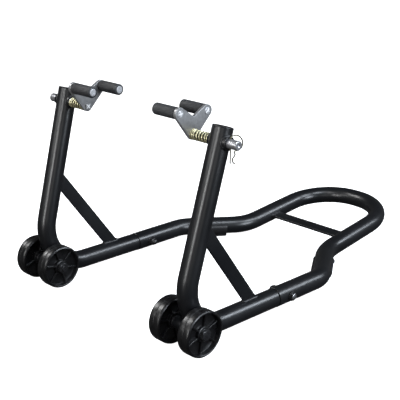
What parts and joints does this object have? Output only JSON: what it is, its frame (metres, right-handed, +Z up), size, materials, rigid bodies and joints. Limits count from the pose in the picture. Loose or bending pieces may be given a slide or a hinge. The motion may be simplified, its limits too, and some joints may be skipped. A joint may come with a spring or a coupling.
{
  "type": "paddock stand",
  "caption": "Front motorcycle paddock stand: bent steel tube frame on small wheels, with a lifting handle and sprung, swivelling V cradles for the fork legs",
  "frame": {"origin": "on the floor, under the middle of the stand's overall length and width", "axes": "+Z up, +Y from the wheels towards the lifting handle, +X across the stand towards its right-hand side frame as seen from the front looking along +Y"},
  "size_m": [0.483, 0.7692, 0.3867],
  "materials": {
    "frame_paint": "satin black powder coat over steel tube and flat bar",
    "wheel_plastic": "black moulded nylon, semi-gloss on the rim's edges",
    "cap_plastic": "black moulded plug",
    "rubber": "dark grey ribbed rubber",
    "foot_rubber": "black moulded rubber",
    "zinc": "bright zinc-plated steel",
    "yellow_zinc": "yellow-passivated zinc on spring steel",
    "dark_fastener": "black-oxide steel"
  },
  "bodies": {
    "frame": {"handle_tube": "frame_paint", "cross_bar": "frame_paint", "side_tube_right": "frame_paint", "brace_right": "frame_paint", "tube_cap_right": "cap_plastic", "foot_pad_right": "foot_rubber", "foot_screw_right": "dark_fastener", "joint_bolt_right": "dark_fastener", "joint_washer_outer_right": "dark_fastener", "joint_washer_inner_right": "dark_fastener", "joint_nut_right": "dark_fastener", "axle_boss_right": "frame_paint", "axle_bolt_right": "dark_fastener", "axle_nut_right": "dark_fastener", "axle_spacer_outer_right": "dark_fastener", "axle_spacer_inner_right": "dark_fastener", "stem_sleeve_right": "frame_paint", "spring_right": "yellow_zinc", "side_tube_left": "frame_paint", "brace_left": "frame_paint", "tube_cap_left": "cap_plastic", "foot_pad_left": "foot_rubber", "foot_screw_left": "dark_fastener", "joint_bolt_left": "dark_fastener", "joint_washer_outer_left": "dark_fastener", "joint_washer_inner_left": "dark_fastener", "joint_nut_left": "dark_fastener", "axle_boss_left": "frame_paint", "axle_bolt_left": "dark_fastener", "axle_nut_left": "dark_fastener", "axle_spacer_outer_left": "dark_fastener", "axle_spacer_inner_left": "dark_fastener", "stem_sleeve_left": "frame_paint", "spring_left": "yellow_zinc"},
    "wheel_outer_right": {"wheel_outer_right": "wheel_plastic"},
    "wheel_inner_right": {"wheel_inner_right": "wheel_plastic"},
    "spring_seat_right": {"spring_seat_right": "yellow_zinc"},
    "cradle_right": {"stem_right": "zinc", "v_plate_right": "zinc", "pin_front_right": "zinc", "pin_rear_right": "zinc", "rubber_front_right": "rubber", "rubber_rear_right": "rubber", "r_clip_right": "yellow_zinc"},
    "wheel_outer_left": {"wheel_outer_left": "wheel_plastic"},
    "wheel_inner_left": {"wheel_inner_left": "wheel_plastic"},
    "spring_seat_left": {"spring_seat_left": "yellow_zinc"},
    "cradle_left": {"stem_left": "zinc", "v_plate_left": "zinc", "pin_front_left": "zinc", "pin_rear_left": "zinc", "rubber_front_left": "rubber", "rubber_rear_left": "rubber", "r_clip_left": "yellow_zinc"}
  },
  "joints": [
    {"name": "wheel_outer_right_spin", "type": "hinge", "parent": "frame", "child": "wheel_outer_right", "pos_m": [0.2247, -0.34457, 0.04], "axis": [1, 0, 0], "continuous": true},
    {"name": "wheel_inner_right_spin", "type": "hinge", "parent": "frame", "child": "wheel_inner_right", "pos_m": [0.1561, -0.34457, 0.04], "axis": [1, 0, 0], "continuous": true},
    {"name": "wheel_outer_left_spin", "type": "hinge", "parent": "frame", "child": "wheel_outer_left", "pos_m": [-0.2247, -0.34457, 0.04], "axis": [1, 0, 0], "continuous": true},
    {"name": "wheel_inner_left_spin", "type": "hinge", "parent": "frame", "child": "wheel_inner_left", "pos_m": [-0.1561, -0.34457, 0.04], "axis": [1, 0, 0], "continuous": true},
    {"name": "cradle_slide_right", "type": "slide", "parent": "frame", "child": "spring_seat_right", "axis": [1, 0, 0], "range_m": [0, 0.014], "stiffness_N_per_m": 5000, "springref_m": -0.005, "deforming": ["spring_right"]},
    {"name": "cradle_swivel_right", "type": "hinge", "parent": "spring_seat_right", "child": "cradle_right", "pos_m": [0.2, -0.28098, 0.33957], "axis": [1, 0, 0], "continuous": true},
    {"name": "cradle_slide_left", "type": "slide", "parent": "frame", "child": "spring_seat_left", "axis": [-1, 0, 0], "range_m": [0, 0.014], "stiffness_N_per_m": 5000, "springref_m": -0.005, "deforming": ["spring_left"]},
    {"name": "cradle_swivel_left", "type": "hinge", "parent": "spring_seat_left", "child": "cradle_left", "pos_m": [-0.2, -0.28098, 0.33957], "axis": [1, 0, 0], "continuous": true}
  ]
}
